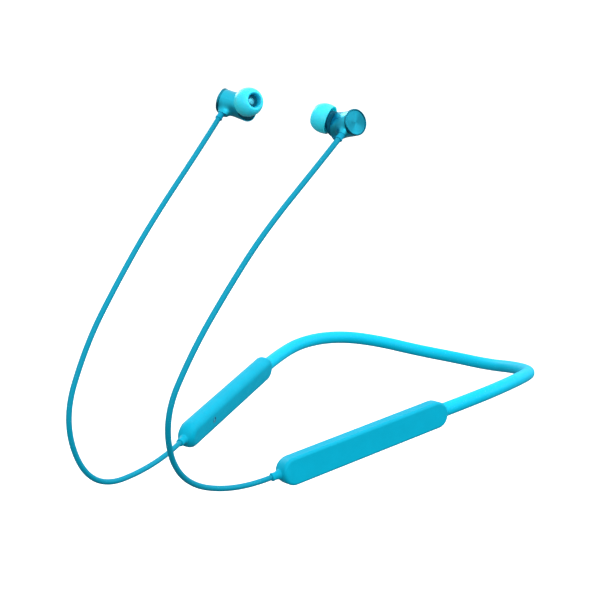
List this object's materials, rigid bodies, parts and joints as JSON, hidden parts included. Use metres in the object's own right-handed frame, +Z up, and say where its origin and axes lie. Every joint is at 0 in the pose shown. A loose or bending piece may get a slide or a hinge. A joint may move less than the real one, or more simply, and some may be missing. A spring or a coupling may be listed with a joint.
{
  "type": "neckband earphones",
  "caption": "Bendy neckband with a slim electronics module at each end, each module joined by a thin cord to an angled metal in-ear bud with a silicone tip.",
  "frame": {"origin": "the point of the neckband inner face that rests on the nape of the neck", "axes": "+Z up, +X to the left of the person who wears it, -Y the way that person faces"},
  "size_m": [0.126, 0.2702, 0.1616],
  "materials": {
    "module_shell": "soft-touch satin turquoise",
    "relief_rubber": "matte",
    "steel": "plain",
    "battery_foil": "laminated foil pouch",
    "foam": "soft foam",
    "circuit_board": "solder mask",
    "black_chip": "moulded epoxy",
    "ceramic": "fired ceramic",
    "status_lens": "smoked translucent",
    "door_rubber": "matte",
    "button_rubber": "matte",
    "band_silicone": "satin silicone",
    "lead_insulation": "thin insulation",
    "cord_jacket": "satin jacket",
    "anodised_metal": "turned and anodised turquoise",
    "front_shell_metal": "anodised darker turquoise",
    "magnet": "nickel plate",
    "tip_silicone": "translucent silicone"
  },
  "bodies": {
    "root": {"left_shell": "module_shell", "right_shell": "module_shell", "left_bottom_cover": "module_shell", "right_bottom_cover": "module_shell", "left_cord_relief": "relief_rubber", "right_cord_relief": "relief_rubber", "left_bud_relief": "relief_rubber", "right_bud_relief": "relief_rubber", "left_cover_screws": "steel", "right_cover_screws": "steel", "battery": "battery_foil", "battery_pad": "foam", "battery_board": "circuit_board", "main_board": "circuit_board", "key_switches": "steel", "bluetooth_chip": "black_chip", "power_chip": "black_chip", "antenna": "ceramic", "board_capacitors": "ceramic", "status_led": "ceramic", "microphone": "steel", "status_lens": "status_lens", "usb_socket": "steel", "neckband_sleeve": "band_silicone", "spring_wire": "steel", "band_leads": "lead_insulation", "left_ear_cord": "cord_jacket", "right_ear_cord": "cord_jacket", "left_back_cap": "anodised_metal", "left_barrel": "anodised_metal", "left_front_shell": "front_shell_metal", "left_magnet": "magnet", "left_driver": "black_chip", "left_nozzle_mesh": "steel", "right_back_cap": "anodised_metal", "right_barrel": "anodised_metal", "right_front_shell": "front_shell_metal", "right_magnet": "magnet", "right_driver": "black_chip", "right_nozzle_mesh": "steel"},
    "volume_up_button": {"volume_up_button": "button_rubber"},
    "call_button": {"call_button": "button_rubber"},
    "volume_down_button": {"volume_down_button": "button_rubber"},
    "usb_cover": {"usb_cover": "door_rubber"},
    "left_ear_tip": {"left_ear_tip": "tip_silicone"},
    "right_ear_tip": {"right_ear_tip": "tip_silicone"}
  },
  "joints": [
    {"name": "volume_up_button_press", "type": "slide", "parent": "root", "child": "volume_up_button", "axis": [0.9553, 0.2779, -0.1004], "range_m": [0, 0.00035], "stiffness_N_per_m": 3000},
    {"name": "call_button_press", "type": "slide", "parent": "root", "child": "call_button", "axis": [0.9553, 0.2779, -0.1004], "range_m": [0, 0.00035], "stiffness_N_per_m": 3000},
    {"name": "volume_down_button_press", "type": "slide", "parent": "root", "child": "volume_down_button", "axis": [0.9553, 0.2779, -0.1004], "range_m": [0, 0.00035], "stiffness_N_per_m": 3000},
    {"name": "usb_cover_hinge", "type": "hinge", "parent": "root", "child": "usb_cover", "pos_m": [-0.04824, -0.12483, 0.00671], "axis": [-0.9553, -0.2779, 0.1004], "range_deg": [0, 90]},
    {"name": "left_ear_tip_pull", "type": "slide", "parent": "root", "child": "left_ear_tip", "axis": [-0.9334, -0.2496, 0.2576], "range_m": [0, 0.0075]},
    {"name": "right_ear_tip_pull", "type": "slide", "parent": "root", "child": "right_ear_tip", "axis": [0.9366, -0.2519, 0.2434], "range_m": [0, 0.0075]}
  ]
}
